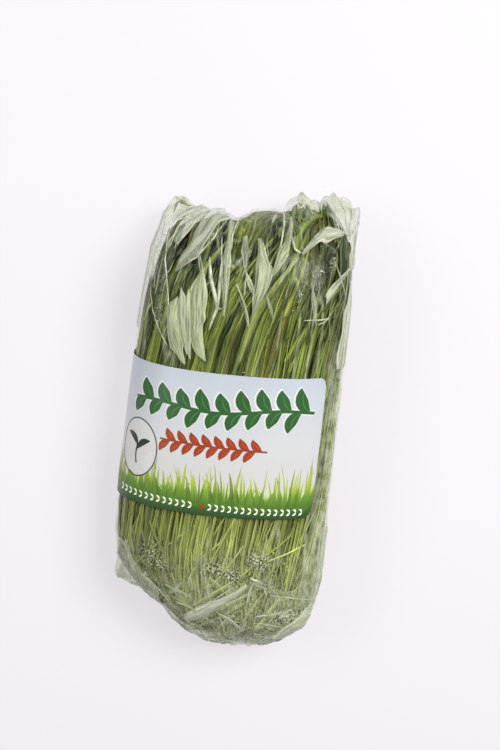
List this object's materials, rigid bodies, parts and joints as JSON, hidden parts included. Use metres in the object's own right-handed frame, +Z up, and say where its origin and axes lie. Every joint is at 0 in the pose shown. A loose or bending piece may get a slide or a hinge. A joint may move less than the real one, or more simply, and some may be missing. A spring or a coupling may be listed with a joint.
{
  "type": "bagged cut wheatgrass",
  "caption": "Clear film bag packed with cut wheatgrass, lying on its back with a wrap-round label on its front and its mouth folded under.",
  "frame": {"origin": "the middle of the bag's footprint, on the surface that it lies on", "axes": "+Y along the bag from its sealed bottom to its closed mouth, +Z up out of the front that carries the label, +X to the right as seen from above with the mouth at the top"},
  "size_m": [0.1206, 0.264, 0.069],
  "materials": {
    "film": "gloss",
    "label": "satin",
    "leaf_green": "satin",
    "stem_green": "satin"
  },
  "bodies": {
    "root": {"film_bag": "film", "label": "label", "tuft_01": "leaf_green", "tuft_02": "leaf_green", "tuft_03": "leaf_green", "tuft_04": "leaf_green", "tuft_05": "leaf_green", "tuft_06": "leaf_green", "tuft_07": "leaf_green", "tuft_08": "leaf_green", "tuft_09": "leaf_green", "tuft_10": "leaf_green", "tuft_11": "leaf_green", "tuft_12": "leaf_green", "tuft_13": "leaf_green", "tuft_14": "leaf_green", "tuft_15": "leaf_green", "tuft_16": "leaf_green", "tuft_17": "leaf_green", "tuft_18": "leaf_green", "tuft_19": "leaf_green", "tuft_20": "leaf_green", "loose_blade_01": "stem_green", "loose_blade_02": "stem_green", "loose_blade_03": "stem_green", "loose_blade_04": "stem_green", "loose_blade_05": "stem_green", "loose_blade_06": "stem_green"}
  },
  "joints": []
}
